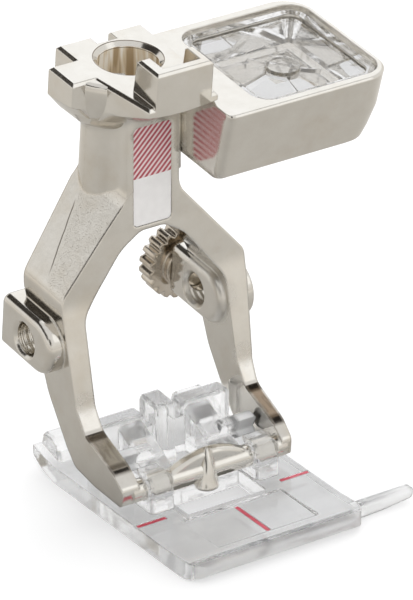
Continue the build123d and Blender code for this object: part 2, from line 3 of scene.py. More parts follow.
import bmesh
import bpy
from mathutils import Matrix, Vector


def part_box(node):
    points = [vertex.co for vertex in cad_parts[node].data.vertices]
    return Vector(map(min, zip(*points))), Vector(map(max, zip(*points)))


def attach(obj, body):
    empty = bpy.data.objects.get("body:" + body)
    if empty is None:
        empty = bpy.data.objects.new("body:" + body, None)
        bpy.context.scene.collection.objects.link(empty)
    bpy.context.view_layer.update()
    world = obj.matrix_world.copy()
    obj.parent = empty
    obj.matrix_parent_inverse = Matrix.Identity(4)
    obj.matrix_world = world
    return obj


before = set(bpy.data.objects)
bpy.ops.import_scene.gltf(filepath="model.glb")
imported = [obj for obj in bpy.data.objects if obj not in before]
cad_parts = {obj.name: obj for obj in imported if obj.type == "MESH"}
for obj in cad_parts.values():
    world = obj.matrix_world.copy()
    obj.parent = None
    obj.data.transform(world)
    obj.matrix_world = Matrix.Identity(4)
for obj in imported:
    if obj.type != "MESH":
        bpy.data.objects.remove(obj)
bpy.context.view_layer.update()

MM = 0.001
RIGHT = (1.0, 0.0, 0.0)
BACK = (0.0, 1.0, 0.0)
UP = (0.0, 0.0, 1.0)

# camera, fitted to the photo's 413 x 600 frame; angles in degrees
CAMERA_AZIMUTH = -33.859
CAMERA_ELEVATION = 26.827
CAMERA_PLACE = (-307.46 * MM, -473.83 * MM, 256.11 * MM)
CAMERA_LENS = 335.41
CAMERA_SENSOR = 36.0
CAMERA_CLIP = (0.01, 20.0)

# one soft lamp from the back right for the shadow, and a weak fill from the front left;
# places and sizes in metres, power in watts
LAMPS = (
    ("soft_lamp", (0.22, 0.26, 0.48), 2.0),
    ("front_fill", (-0.30, -0.58, 0.22), 0.9),
)
LAMP_SIZE = 0.6
LAMP_AIM = Vector((0, -0.01, -0.03))

# nickel plating of the shank, and a darker, browner copy of it on the clamp screw as painted shade
NICKEL_PALE = (0.725, 0.70, 0.65)
NICKEL_WARM = (0.675, 0.645, 0.59)
NICKEL_ROUGH = (0.09, 0.16)
NICKEL_GRAIN = 0.11
SCREW_SHADED_PALE = (0.70, 0.65, 0.58)
SCREW_SHADED_WARM = (0.54, 0.47, 0.38)
SCREW_ROUGH = (0.10, 0.20)
SCREW_GRAIN = 0.12
STAIN_TINT = (0.94, 0.90, 0.84)
STAIN_DEPTH = 0.5
GRAIN_HEIGHT = 0.02 * MM

# noise scales of the plating, in features for each metre
MOTTLE_SCALE = 420
STAIN_SCALE = 130
SHEEN_SCALE = 2600
GRAIN_SCALE = 1500

# radius over which the edges of the metal are softened, and where it changes
HEAD_EDGE = 0.18 * MM
ARM_EDGE = 0.28 * MM
CUP_EDGE = 1.30 * MM
FORK_EDGE = 0.40 * MM
HEAD_LEVELS = (-3.3 * MM, -2.7 * MM)
CUP_LEVELS = (-14.0 * MM, -10.0 * MM)
ARM_ROOT_X = (4.4 * MM, 5.2 * MM)

# shaft socket: painted reflection streaks on its wall, and painted dark lines at its mouth
SOCKET_AXIS = (0, -0.101056, 0.994881)
SOCKET_R = 3.6 * MM
SOCKET_TOP = 0.1 * MM
SOCKET_FLOOR = -8.7 * MM
SOCKET_ROUGH = 0.30
SOCKET_REFLECTION_SCALE = 1100
SOCKET_REFLECTION_STRETCH = (1, 1, 0.04)
SOCKET_REFLECTION_STREAKS = (
    (0.40, (0.46, 0.35, 0.22)),
    (0.50, (0.78, 0.68, 0.52)),
    (0.60, (1.0, 0.97, 0.90)),
)
MOUTH_R = 4.0 * MM
MOUTH_LEVEL = 0.4 * MM
MOUTH_LINE = 0.07 * MM
MOUTH_LINE_DEPTH = 0.8
MOUTH_REFLECTION_DARK = (0.16, 0.12, 0.08)

# raw cast slope on the left of the fork, with its pits, and painted shade along its crease
SLOPE_NORMAL = (-0.756, -0.066, 0.651)
SLOPE_LEVEL = -6.25 * MM
SLOPE_BAND = 0.10 * MM
CREASE_ACROSS = (0.260, -0.943, 0.207)
CREASE_LEVEL = -6.84 * MM
CREASE_TOP = -15.9 * MM
CREASE_TOP_FADE = 1.0 * MM
CREASE_LOW = -23.1 * MM
CREASE_LOW_FADE = 1.5 * MM
CREASE_HALF_WIDTHS = (0.04 * MM, 0.14 * MM)
CREASE_WOBBLE = 0.25 * MM
CREASE_WOBBLE_SCALE = 600
CREASE_SHADE_DEPTH = 0.85
CREASE_SHADE_DARK = (0.12, 0.10, 0.08)
PIT_SCALE = 9000
PIT_LEVELS = (0.52, 0.66)
PIT_FADE = 0.6 * MM
PIT_DEPTH = 0.5
PIT_ROUGH = 0.25
PIT_DARK = (0.40, 0.35, 0.29)

# painted shade and dark reflection on the upper faces of the feet: dark at the ankle and before the
# toe, streaked between
FOOT_NORMAL = (0.0, -0.366, 0.931)
FOOT_LEVEL = -33.30 * MM
FOOT_BAND = (0.10 * MM, 0.25 * MM)
FOOT_BACK = -9.2 * MM
FOOT_BACK_FADE = (1.2 * MM, 0.7 * MM)
FOOT_BACK_DEPTH = 0.95
FOOT_FRONT = -14.0 * MM
FOOT_FRONT_FADE = 0.6 * MM
FOOT_FRONT_DEPTH = 0.75
FOOT_INNER = 8.5 * MM
FOOT_STREAK_SCALE = 1500
FOOT_STREAK_STRETCH = (1, 0.20, 0.20)
FOOT_STREAK_LEVELS = (0.45, 0.60)
FOOT_STREAK_DEPTH = 0.32
FOOT_SHADE_DEPTH = 0.9
FOOT_SHADE_DARK = (0.12, 0.095, 0.07)

# rough cast patches above the ankles, and the duller boss on the right
PATCHES = ((-10.8 * MM, -7.4 * MM, -36.4 * MM), (10.6 * MM, -7.4 * MM, -36.3 * MM))
PATCH_R = 1.9 * MM
PATCH_CORE = 0.6
PATCH_ROUGH = 0.16
CAST_SCALE = 4200
CAST_STRENGTH = 0.4
CAST_HEIGHT = 0.03 * MM
RIGHT_BOSS = (9.0 * MM, -2.0 * MM, -30.0 * MM)
RIGHT_BOSS_R = 4.6 * MM
RIGHT_BOSS_CORE = 0.85
RIGHT_BOSS_ROUGH = 0.22

# turning rings in the rod bores
ROD_AXIS = (0.0, -0.012 * MM, -30.558 * MM)
ROD_BORE_R = 1.9 * MM
ROD_BORE_MARGIN = 0.06 * MM
ROD_RING_PITCH = 0.7 * MM
ROD_RING_STRENGTH = 0.8
ROD_RING_HEIGHT = 0.06 * MM

# clear plastic: tint, share of the light let through clear, roughness, tone of its shadow, edge
SOLE_TINT = (0.988, 0.988, 0.986)
SOLE_CLEARNESS = 0.975
SOLE_ROUGH = 0.14
SOLE_SHADE = 0.86
SOLE_EDGE = 0.3 * MM
PRISM_TINT = (0.995, 0.995, 0.995)
PRISM_CLEARNESS = 0.99
PRISM_ROUGH = 0.05
PRISM_SHADE = 0.90
PRISM_EDGE = 0.12 * MM
PLASTIC_IOR = 1.49
HAZE_SCALE = 420
HAZE_STRETCH = (0.22, 1, 1)
HAZE_TONE = 0.95
POLISH_SCALE = 700
SWELL_SCALE = 350
SWELL_STRENGTH = 0.12
SWELL_HEIGHT = 0.1 * MM

# milky pegs on the sole's rails, its hazy side wing and its frosted front
PEG_Y = -11.16 * MM
PEG_Z = -42.80 * MM
PEG_R = 1.45 * MM
PEG_X = 6.4 * MM
PEG_FADE = 0.8 * MM
PEG_CLEARNESS = 0.10
WING_X = 11.9 * MM
WING_FADE = 1.5 * MM
WING_CLEARNESS = 0.80
BUMPER_Y = -30.1 * MM
BUMPER_FADE = 0.6 * MM
FROST = 0.28

# label: red diagonal hatch above HATCH_LOW, bare white below
HATCH_LOW = -11.95 * MM
HATCH_FADE = 0.05 * MM
HATCH_PITCH = 0.77 * MM
HATCH_RISE = (0.0, 0.08)
HATCH_FALL = (0.52, 0.60)
HATCH_GROUND = (0.86, 0.70, 0.72)
LABEL_RED = ((0.42, 0.06, 0.085), (0.52, 0.10, 0.125))
LABEL_RED_SCALE = 1800
LABEL_PAPER = ((0.89, 0.885, 0.89), (0.94, 0.935, 0.94))
LABEL_PAPER_SCALE = 900
LABEL_ROUGH = 0.42
LABEL_COAT = 0.15

# red paint in the guide marks
MARK_RED = ((0.58, 0.035, 0.07), (0.78, 0.11, 0.16))
MARK_SCALE = 1600
MARK_ROUGH = 0.35

# drum that fills the corner between the ear and the nose, under the head; millimetres, degrees
HEAD_LEAN = 5.8
DRUM_PLACE = (0.0, 2.0, 0.0)
DRUM_TURN = (200.0, 245.0)
DRUM_STEPS = 12
DRUM_INNER_R = 5.0
DRUM_TOP = 0.42
DRUM_RIM = 0.2
DRUM_CENTRE = (5.4, -0.5)
DRUM_HALF_WIDTHS = (3.1, 5.75)
DRUM_ARC = (-82.0, 7.0)
DRUM_ARC_STEPS = 12

# the pointer's full cone in front of the bar, with its rounded foot; millimetres, degrees
POINTER_PLACE = (-0.45, -16.25, -45.65)
POINTER_STEPS = 32
POINTER_CONE = [(0.02, 4.6), (0.16, 4.52), (0.98, 1.2)]
POINTER_FOOT_CENTRE = (0.0, -0.1)
POINTER_FOOT_HALF_WIDTHS = (1.42, 0.52)
POINTER_FOOT_ARC = (14.0, -89.0)
POINTER_FOOT_STEPS = 10

# fillet that closes the slot between the neck and the arm; millimetres, degrees
FILLET_LEFT = 2.8
FILLET_REAR = -3.0
FILLET_CENTRE = (3.45, -4.25)
FILLET_R = 0.6
FILLET_ARC = (-90.0, 0.0)
FILLET_STEPS = 6
FILLET_LOW = -12.0
FILLET_TOP = -3.6

# floor: white to the eye, a satin table to the metal, with a painted sheen that makes it brighter
# far away
FLOOR_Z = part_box("clear_sole")[0].z
FLOOR_GAP = 0.02 * MM
FLOOR_REACH = 3.0
FLOOR_TONE = 0.525
FLOOR_WARMTH = (1.0, 0.97, 0.92)
FLOOR_FAR_SHEEN = (0.77, 0.74, 0.69)
FLOOR_SHEEN_RANGE = (0.05, 0.17)
FLOOR_ROUGH = 0.35
FLOOR_GLOW = 0.55
# through the plastic the floor's glow fades out away from the sole: painted shade
FLOOR_GLOW_INSIDE = 0.48
FLOOR_GLOW_CENTRE = (0.0, -0.014, 0.0)
FLOOR_GLOW_SHADE_RANGE = (0.028, 0.050)

# studio: a pale room, its tones from straight down (0) to straight up (1)
ROOM_TONES = (
    (0.0, (0.52, 0.50, 0.47)),
    (0.50, (0.84, 0.81, 0.77)),
    (0.62, (0.95, 0.94, 0.92)),
    (0.82, (0.92, 0.92, 0.92)),
    (1.0, (0.86, 0.86, 0.87)),
)
DARK = (0.05, 0.045, 0.04)
# white panels and dark gaps in it: azimuth, elevation, inner and outer radius in degrees, tone
PANELS = (
    (38, 36, 26, 36, (1.28, 1.30, 1.33)),
    (143, 33, 13, 17, (1.28, 1.29, 1.30)),
    (68, 59, 9, 13, (0.52, 0.42, 0.33)),
    (84, 62, 6.5, 9.5, DARK),
    (101, 60, 5, 8, DARK),
    (6, 47, 9, 13, DARK),
    (-15, 46, 9, 13, DARK),
    (-36, 43, 11.5, 14.5, DARK),
    (-60, 46, 11, 15, DARK),
    (-85, 42, 12, 16, DARK),
    (-108, 34, 11, 16, DARK),
    (-142, 23, 11, 15, DARK),
)
# what is seen through the clear plastic is an even, pale room, brightest in this direction
EVEN_TOWARD = (38, 40)
EVEN_TONES = (0.78, 1.0)


def new_material(name):
    mat = bpy.data.materials.new(name)
    mat.use_nodes = True
    tree = mat.node_tree
    shader = tree.nodes["Principled BSDF"]
    return mat, tree, shader


def add(tree, kind, **values):
    node = tree.nodes.new(kind)
    for key, value in values.items():
        setattr(node, key, value)
    return node


def plug(tree, socket, value):
    """Sets a socket to a number or a colour, or links it to another socket."""
    if isinstance(value, (int, float)):
        socket.default_value = value
    elif isinstance(value, tuple):
        socket.default_value = (*value, 1) if len(socket.default_value) == 4 else value
    else:
        tree.links.new(value, socket)


def math_node(tree, operation, a, b=None, c=None):
    node = add(tree, "ShaderNodeMath", operation=operation)
    for index, value in enumerate((a, b, c)):
        if value is not None:
            plug(tree, node.inputs[index], value)
    return node.outputs[0]


def times(tree, a, b):
    return math_node(tree, "MULTIPLY", a, b)


def minus(tree, a, b):
    return math_node(tree, "SUBTRACT", a, b)


def raised(tree, base, mask, amount):
    return math_node(tree, "MULTIPLY_ADD", mask, amount, base)


def without_sign(tree, a):
    return math_node(tree, "ABSOLUTE", a)


def below(tree, a, b):
    return math_node(tree, "LESS_THAN", a, b)


def above(tree, a, b):
    return math_node(tree, "GREATER_THAN", a, b)


def either(tree, a, b):
    return math_node(tree, "MAXIMUM", a, b)


def both(tree, *masks):
    result = masks[0]
    for mask in masks[1:]:
        result = times(tree, result, mask)
    return result


def vector_node(tree, operation, vector, other):
    node = add(tree, "ShaderNodeVectorMath", operation=operation)
    plug(tree, node.inputs[0], vector)
    plug(tree, node.inputs[1], other)
    return node


def dot(tree, vector, other):
    return vector_node(tree, "DOT_PRODUCT", vector, other).outputs["Value"]


def distance(tree, vector, point):
    return vector_node(tree, "DISTANCE", vector, point).outputs["Value"]


def spot(tree):
    return add(tree, "ShaderNodeTexCoord").outputs["Object"]


def spot_parts(tree):
    node = add(tree, "ShaderNodeSeparateXYZ")
    tree.links.new(spot(tree), node.inputs[0])
    return node.outputs


def noise(tree, scale, detail=2.0, rough=0.5, stretch=None):
    place = spot(tree)
    if stretch:
        mapping = add(tree, "ShaderNodeMapping")
        mapping.inputs["Scale"].default_value = stretch
        tree.links.new(place, mapping.inputs["Vector"])
        place = mapping.outputs[0]
    node = add(tree, "ShaderNodeTexNoise")
    node.inputs["Scale"].default_value = scale
    node.inputs["Detail"].default_value = detail
    node.inputs["Roughness"].default_value = rough
    tree.links.new(place, node.inputs["Vector"])
    return node.outputs["Fac"]


def ramp(tree, factor, stops):
    node = add(tree, "ShaderNodeValToRGB")
    node.color_ramp.elements[0].position = stops[0][0]
    node.color_ramp.elements[0].color = (*stops[0][1], 1)
    node.color_ramp.elements[1].position = stops[-1][0]
    node.color_ramp.elements[1].color = (*stops[-1][1], 1)
    for position, colour in stops[1:-1]:
        node.color_ramp.elements.new(position).color = (*colour, 1)
    tree.links.new(factor, node.inputs["Fac"])
    return node.outputs["Color"]


def map_range(tree, value, low, high, out_low, out_high, smooth=False):
    node = add(tree, "ShaderNodeMapRange")
    node.interpolation_type = "SMOOTHSTEP" if smooth else "LINEAR"
    plug(tree, node.inputs["Value"], value)
    plug(tree, node.inputs["From Min"], low)
    plug(tree, node.inputs["From Max"], high)
    plug(tree, node.inputs["To Min"], out_low)
    plug(tree, node.inputs["To Max"], out_high)
    return node.outputs["Result"]


def fade_in(tree, value, low, high):
    return map_range(tree, value, low, high, 0, 1, True)


def fade_out(tree, value, low, high):
    return map_range(tree, value, low, high, 1, 0, True)


def bump(tree, height, strength, depth, under):
    node = add(tree, "ShaderNodeBump")
    plug(tree, node.inputs["Strength"], strength)
    node.inputs["Distance"].default_value = depth
    tree.links.new(height, node.inputs["Height"])
    tree.links.new(under, node.inputs["Normal"])
    return node.outputs["Normal"]


def soft_edges(tree, radius):
    node = add(tree, "ShaderNodeBevel", samples=10)
    plug(tree, node.inputs["Radius"], radius)
    return node.outputs["Normal"]


def mix_colour(tree, factor, a, b):
    node = add(tree, "ShaderNodeMix", data_type="RGBA")
    tree.links.new(factor, node.inputs["Factor"])
    plug(tree, node.inputs["A"], a)
    plug(tree, node.inputs["B"], b)
    return node.outputs["Result"]


def mix_surface(tree, factor, a, b):
    """Makes the surface a mix of two shaders."""
    split = add(tree, "ShaderNodeMixShader")
    tree.links.new(factor, split.inputs[0])
    tree.links.new(a.outputs[0], split.inputs[1])
    tree.links.new(b.outputs[0], split.inputs[2])
    tree.links.new(split.outputs[0], tree.nodes["Material Output"].inputs["Surface"])


def inside_plastic(tree, path):
    """1 for rays that have gone through clear plastic."""
    return above(tree, path.outputs["Transmission Depth"], 0.5)


def plated(name, pale, warm, rough_range, grain):
    """Nickel plating: mottled colour, faint stains, fine grain and softened edges."""
    mat, tree, shader = new_material(name)
    shader.inputs["Metallic"].default_value = 1.0
    colour = ramp(tree, noise(tree, MOTTLE_SCALE, 5, 0.6), [(0.3, warm), (0.7, pale)])
    stain = map_range(tree, noise(tree, STAIN_SCALE, 5, 0.65), 0.50, 0.70, 0, STAIN_DEPTH, True)
    stained = tuple(part * tint for part, tint in zip(warm, STAIN_TINT))
    colour = mix_colour(tree, stain, colour, stained)
    rough = map_range(tree, noise(tree, SHEEN_SCALE, 3, 0.6), 0.3, 0.7, *rough_range)
    # crisp on the head and the arm, softer on the fork, a smooth cup under the head
    level = dot(tree, spot(tree), UP)
    aside = dot(tree, spot(tree), RIGHT)
    cup = map_range(tree, aside, *ARM_ROOT_X, CUP_EDGE, ARM_EDGE, True)
    edge = map_range(tree, level, *CUP_LEVELS, FORK_EDGE, cup, True)
    edge = map_range(tree, level, *HEAD_LEVELS, edge, HEAD_EDGE, True)
    grain_noise = noise(tree, GRAIN_SCALE, 3, 0.55)
    normal = bump(tree, grain_noise, grain, GRAIN_HEIGHT, soft_edges(tree, edge))
    return mat, tree, shader, colour, rough, normal


def finish_plating(tree, shader, colour, rough, normal):
    plug(tree, shader.inputs["Base Color"], colour)
    plug(tree, shader.inputs["Roughness"], rough)
    plug(tree, shader.inputs["Normal"], normal)


def shank_nickel():
    """Plating with the marks that single places of the shank carry, and painted shade and
    reflection at some of them.
    """
    mat, tree, shader, colour, rough, normal = plated(
        "nickel", NICKEL_PALE, NICKEL_WARM, NICKEL_ROUGH, NICKEL_GRAIN
    )
    place = spot(tree)
    aside = dot(tree, place, RIGHT)
    backward = dot(tree, place, BACK)
    level = dot(tree, place, UP)

    # wall of the socket: not metal, with painted reflection streaks, bright and dark
    along = dot(tree, place, SOCKET_AXIS)
    radial = minus(tree, dot(tree, place, place), times(tree, along, along))
    in_socket = both(
        tree,
        below(tree, radial, SOCKET_R * SOCKET_R),
        below(tree, along, SOCKET_TOP),
        above(tree, along, SOCKET_FLOOR),
    )
    reflection_streaks = noise(tree, SOCKET_REFLECTION_SCALE, 2, 0.5, SOCKET_REFLECTION_STRETCH)
    colour = mix_colour(tree, in_socket, colour, ramp(tree, reflection_streaks, SOCKET_REFLECTION_STREAKS))
    plug(tree, shader.inputs["Metallic"], raised(tree, 1.0, in_socket, -1.0))
    rough = raised(tree, rough, in_socket, SOCKET_ROUGH)

    # painted dark reflection: lines at the outer and the inner edge of its mouth
    radius = math_node(tree, "SQRT", radial)
    off_rim = without_sign(tree, minus(tree, radius, MOUTH_R))
    rim_line = both(
        tree,
        fade_out(tree, off_rim, MOUTH_LINE * 0.5, MOUTH_LINE),
        above(tree, along, MOUTH_LEVEL),
    )
    wall_line = both(
        tree,
        fade_out(tree, without_sign(tree, along), MOUTH_LINE * 0.5, MOUTH_LINE),
        below(tree, radius, SOCKET_R),
    )
    mouth_reflection_lines = times(tree, either(tree, rim_line, wall_line), MOUTH_LINE_DEPTH)
    colour = mix_colour(tree, mouth_reflection_lines, colour, MOUTH_REFLECTION_DARK)

    # pitted slope, with painted shade along its crease
    off_slope = without_sign(tree, minus(tree, dot(tree, place, SLOPE_NORMAL), SLOPE_LEVEL))
    on_slope = both(tree, below(tree, off_slope, SLOPE_BAND), below(tree, aside, 0.0))
    wobble = times(tree, minus(tree, noise(tree, CREASE_WOBBLE_SCALE), 0.5), CREASE_WOBBLE)
    straight = minus(tree, dot(tree, place, CREASE_ACROSS), CREASE_LEVEL)
    across = math_node(tree, "ADD", straight, wobble)
    shaded_crease = both(
        tree,
        on_slope,
        fade_out(tree, without_sign(tree, across), *CREASE_HALF_WIDTHS),
        fade_in(tree, level, CREASE_LOW, CREASE_LOW + CREASE_LOW_FADE),
        fade_out(tree, level, CREASE_TOP - CREASE_TOP_FADE, CREASE_TOP),
    )
    pits = fade_in(tree, noise(tree, PIT_SCALE, 2, 0.6), *PIT_LEVELS)
    raw = both(tree, on_slope, fade_in(tree, across, 0.0, PIT_FADE), pits)
    colour = mix_colour(tree, times(tree, raw, PIT_DEPTH), colour, PIT_DARK)
    colour = mix_colour(tree, times(tree, shaded_crease, CREASE_SHADE_DEPTH), colour, CREASE_SHADE_DARK)

    # painted shade and dark reflection on the feet
    foot_noise = noise(tree, FOOT_STREAK_SCALE, 4, 0.65, FOOT_STREAK_STRETCH)
    foot_streaks = fade_in(tree, foot_noise, *FOOT_STREAK_LEVELS)
    foot_back = [FOOT_BACK - fade for fade in FOOT_BACK_FADE]
    foot_front = (FOOT_FRONT, FOOT_FRONT + FOOT_FRONT_FADE)
    foot_shaded_ends = either(
        tree,
        map_range(tree, backward, *foot_back, 0, FOOT_BACK_DEPTH, True),
        map_range(tree, backward, *foot_front, FOOT_FRONT_DEPTH, 0, True),
    )
    off_foot = without_sign(tree, minus(tree, dot(tree, place, FOOT_NORMAL), FOOT_LEVEL))
    foot_shade = both(
        tree,
        fade_out(tree, off_foot, *FOOT_BAND),
        below(tree, backward, FOOT_BACK),
        above(tree, without_sign(tree, aside), FOOT_INNER),
        either(tree, foot_shaded_ends, times(tree, foot_streaks, FOOT_STREAK_DEPTH)),
    )
    colour = mix_colour(tree, times(tree, foot_shade, FOOT_SHADE_DEPTH), colour, FOOT_SHADE_DARK)

    # rough cast patches and the duller boss
    patches = either(
        tree,
        *(
            fade_out(tree, distance(tree, place, centre), PATCH_R * PATCH_CORE, PATCH_R)
            for centre in PATCHES
        ),
    )
    rough = raised(tree, rough, patches, PATCH_ROUGH)
    off_boss = distance(tree, place, RIGHT_BOSS)
    on_boss = fade_out(tree, off_boss, RIGHT_BOSS_R * RIGHT_BOSS_CORE, RIGHT_BOSS_R)
    rough = raised(tree, rough, on_boss, RIGHT_BOSS_ROUGH)
    rough = raised(tree, rough, raw, PIT_ROUGH)
    cast_strength = times(tree, either(tree, patches, raw), CAST_STRENGTH)
    normal = bump(tree, noise(tree, CAST_SCALE, 3, 0.65), cast_strength, CAST_HEIGHT, normal)

    # turning rings in the rod bores
    beside_rod = vector_node(tree, "MULTIPLY", place, (0.0, 1.0, 1.0)).outputs["Vector"]
    in_bore = below(tree, distance(tree, beside_rod, ROD_AXIS), ROD_BORE_R + ROD_BORE_MARGIN)
    rings = math_node(tree, "SINE", times(tree, aside, 2.0 * math.pi / ROD_RING_PITCH))
    ring_strength = times(tree, in_bore, ROD_RING_STRENGTH)
    normal = bump(tree, rings, ring_strength, ROD_RING_HEIGHT, normal)

    finish_plating(tree, shader, colour, rough, normal)
    return mat


# painted shade: the clamp screw's plating is a darker, browner copy of the shank's nickel
def screw_nickel():
    mat, *parts = plated("screw_nickel", SCREW_SHADED_PALE, SCREW_SHADED_WARM, SCREW_ROUGH, SCREW_GRAIN)
    finish_plating(*parts)
    return mat


def clear(name, tint, clearness, rough, shade, edge):
    """Clear moulded plastic that throws a pale shadow."""
    mat, tree, shader = new_material(name)
    haze = noise(tree, HAZE_SCALE, 3, 0.5, HAZE_STRETCH)
    hazy = tuple(HAZE_TONE * part for part in tint)
    plug(tree, shader.inputs["Base Color"], ramp(tree, haze, [(0.38, hazy), (0.58, tint)]))
    shader.inputs["Transmission Weight"].default_value = clearness
    shader.inputs["IOR"].default_value = PLASTIC_IOR
    polish = map_range(tree, noise(tree, POLISH_SCALE), 0.3, 0.7, rough * 0.5, rough)
    plug(tree, shader.inputs["Roughness"], polish)
    swell = noise(tree, SWELL_SCALE)
    normal = bump(tree, swell, SWELL_STRENGTH, SWELL_HEIGHT, soft_edges(tree, edge))
    plug(tree, shader.inputs["Normal"], normal)
    through = add(tree, "ShaderNodeBsdfTransparent")
    through.inputs["Color"].default_value = (shade, shade, shade, 1)
    path = add(tree, "ShaderNodeLightPath")
    mix_surface(tree, path.outputs["Is Shadow Ray"], shader, through)
    return mat, tree, shader, polish


def sole_plastic():
    """The sole's plastic, with milky pegs, a hazy wing and a frosted front."""
    mat, tree, shader, polish = clear(
        "clear_plastic", SOLE_TINT, SOLE_CLEARNESS, SOLE_ROUGH, SOLE_SHADE, SOLE_EDGE
    )
    place = spot_parts(tree)
    peg_y = math_node(tree, "POWER", minus(tree, place["Y"], PEG_Y), 2.0)
    peg_z = math_node(tree, "POWER", minus(tree, place["Z"], PEG_Z), 2.0)
    off_peg = math_node(tree, "SQRT", math_node(tree, "ADD", peg_y, peg_z))
    on_peg = both(
        tree,
        below(tree, off_peg, PEG_R),
        fade_in(tree, without_sign(tree, place["X"]), PEG_X, PEG_X + PEG_FADE),
    )
    on_wing = fade_in(tree, place["X"], WING_X, WING_X + WING_FADE)
    clearness = map_range(tree, on_wing, 0.0, 1.0, SOLE_CLEARNESS, WING_CLEARNESS)
    clearness = map_range(tree, on_peg, 0.0, 1.0, clearness, PEG_CLEARNESS)
    plug(tree, shader.inputs["Transmission Weight"], clearness)
    on_bumper = fade_out(tree, place["Y"], BUMPER_Y, BUMPER_Y + BUMPER_FADE)
    frosted = either(tree, on_wing, on_bumper)
    plug(tree, shader.inputs["Roughness"], raised(tree, polish, frosted, FROST))
    return mat


def prism_plastic():
    return clear(
        "clear_prism", PRISM_TINT, PRISM_CLEARNESS, PRISM_ROUGH, PRISM_SHADE, PRISM_EDGE
    )[0]


def label_film():
    mat, tree, shader = new_material("label")
    place = spot_parts(tree)
    diagonal = minus(tree, place["X"], place["Z"])
    turn = math_node(tree, "FRACT", math_node(tree, "DIVIDE", diagonal, HATCH_PITCH))
    stripe = both(tree, fade_in(tree, turn, *HATCH_RISE), fade_out(tree, turn, *HATCH_FALL))
    band = map_range(tree, place["Z"], HATCH_LOW, HATCH_LOW + HATCH_FADE, 0, 1)
    ink = times(tree, stripe, band)
    paper_noise = noise(tree, LABEL_PAPER_SCALE, 3)
    paper = ramp(tree, paper_noise, [(0.3, LABEL_PAPER[0]), (0.7, LABEL_PAPER[1])])
    ground = mix_colour(tree, band, paper, HATCH_GROUND)
    red_noise = noise(tree, LABEL_RED_SCALE)
    red = ramp(tree, red_noise, [(0.3, LABEL_RED[0]), (0.7, LABEL_RED[1])])
    plug(tree, shader.inputs["Base Color"], mix_colour(tree, ink, ground, red))
    shader.inputs["Roughness"].default_value = LABEL_ROUGH
    shader.inputs["Coat Weight"].default_value = LABEL_COAT
    return mat


def mark_paint():
    mat, tree, shader = new_material("red_mark")
    red_noise = noise(tree, MARK_SCALE, 4, 0.65)
    red = ramp(tree, red_noise, [(0.35, MARK_RED[0]), (0.65, MARK_RED[1])])
    plug(tree, shader.inputs["Base Color"], red)
    shader.inputs["Roughness"].default_value = MARK_ROUGH
    return mat


nickel = shank_nickel()
for node, mat in (
    ("shank", nickel),
    ("clamp_screw", screw_nickel()),
    ("clear_sole", sole_plastic()),
    ("sensor_prism", prism_plastic()),
    ("label_plate", label_film()),
    ("guide_marks", mark_paint()),
):
    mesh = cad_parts[node].data
    mesh.materials.clear()
    mesh.materials.append(mat)


def ride_on_shank(name, bm):
    """Turns a bmesh into a smooth nickel piece that moves with the shank."""
    bmesh.ops.recalc_face_normals(bm, faces=bm.faces)
    for face in bm.faces:
        face.smooth = True
    mesh = bpy.data.meshes.new(name)
    bm.to_mesh(mesh)
    bm.free()
    mesh.materials.append(nickel)
    piece = bpy.data.objects.new(name, mesh)
    bpy.context.scene.collection.objects.link(piece)
    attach(piece, "shank")


def ellipse(centre, half_widths, arc, steps):
    """Points of an elliptical arc, its start and end in degrees."""
    points = []
    for step in range(steps + 1):
        turn = math.radians(arc[0] + (arc[1] - arc[0]) * step / steps)
        x = centre[0] + half_widths[0] * math.cos(turn)
        y = centre[1] + half_widths[1] * math.sin(turn)
        points.append((x, y))
    return points


def turned_piece(name, profile, place, lean, arc, steps):
    """Revolves a profile of (radius, height) about an upright axis through place, then leans it."""
    bm = bmesh.new()
    cos_lean, sin_lean = math.cos(math.radians(lean)), math.sin(math.radians(lean))
    closed = arc[1] - arc[0] >= 360.0
    rows = []
    for step in range(steps if closed else steps + 1):
        turn = math.radians(arc[0] + (arc[1] - arc[0]) * step / steps)
        row = []
        for radius, height in profile:
            x = place[0] + radius * math.cos(turn)
            y = place[1] + radius * math.sin(turn)
            z = place[2] + height
            leaned = (x, y * cos_lean - z * sin_lean, y * sin_lean + z * cos_lean)
            row.append(bm.verts.new([value * MM for value in leaned]))
        rows.append(row)
    for row, after in zip(rows, rows[1:] + rows[:1] if closed else rows[1:]):
        for a, b, c, d in zip(row, row[1:], after[1:], after):
            bm.faces.new((a, b, c, d))
        bm.faces.new((row[-1], row[0], after[0], after[-1]))
    if not closed:
        bm.faces.new(rows[0])
        bm.faces.new(list(reversed(rows[-1])))
    ride_on_shank(name, bm)


def upright_piece(name, outline, low, top):
    """Raises an outline of (x, y) from one level to another."""
    bm = bmesh.new()
    under = [bm.verts.new((x * MM, y * MM, low * MM)) for x, y in outline]
    over = [bm.verts.new((x * MM, y * MM, top * MM)) for x, y in outline]
    bm.faces.new(under)
    bm.faces.new(over)
    for index in range(len(under)):
        after = (index + 1) % len(under)
        bm.faces.new((under[index], under[after], over[after], over[index]))
    ride_on_shank(name, bm)


drum_wall = ellipse(DRUM_CENTRE, DRUM_HALF_WIDTHS, DRUM_ARC, DRUM_ARC_STEPS)
drum_profile = [
    (DRUM_INNER_R, drum_wall[0][1]),
    *drum_wall,
    (drum_wall[-1][0] - DRUM_RIM, DRUM_TOP),
    (DRUM_INNER_R, DRUM_TOP),
]
turned_piece("head_drum", drum_profile, DRUM_PLACE, HEAD_LEAN, DRUM_TURN, DRUM_STEPS)

pointer_foot = ellipse(
    POINTER_FOOT_CENTRE, POINTER_FOOT_HALF_WIDTHS, POINTER_FOOT_ARC, POINTER_FOOT_STEPS
)
pointer_profile = POINTER_CONE + pointer_foot
turned_piece("pointer_cone", pointer_profile, POINTER_PLACE, 0.0, (0.0, 360.0), POINTER_STEPS)

